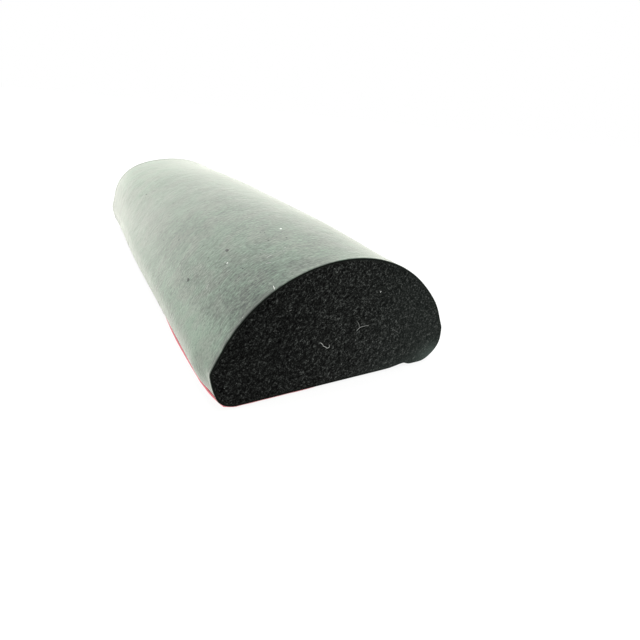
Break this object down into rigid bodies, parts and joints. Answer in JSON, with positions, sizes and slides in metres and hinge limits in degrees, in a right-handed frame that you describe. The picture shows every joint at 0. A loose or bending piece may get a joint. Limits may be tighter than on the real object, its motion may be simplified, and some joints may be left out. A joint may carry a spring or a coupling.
{
  "type": "bathtub sealing strip",
  "caption": "Short cut length of D-section closed-cell sponge rubber sealing strip, with adhesive tape and a red release liner on its flat back.",
  "frame": {"origin": "centre of the strip's footprint, on the underside of the release liner", "axes": "+Y along the strip, from the cut end that the picture shows to the far end; +Z from the back to the crown of the dome; +X to the side where the rubber's back is bare"},
  "size_m": [0.02, 0.05, 0.0102],
  "materials": {
    "sponge_rubber": "black closed-cell sponge rubber with a dull, dusty grey-green outer skin",
    "adhesive": "clear to cream acrylic adhesive on a thin carrier",
    "red_film": "thin red siliconised film with a soft sheen"
  },
  "bodies": {
    "root": {"sponge_strip": "sponge_rubber", "adhesive_tape": "adhesive", "release_liner": "red_film"}
  },
  "joints": []
}
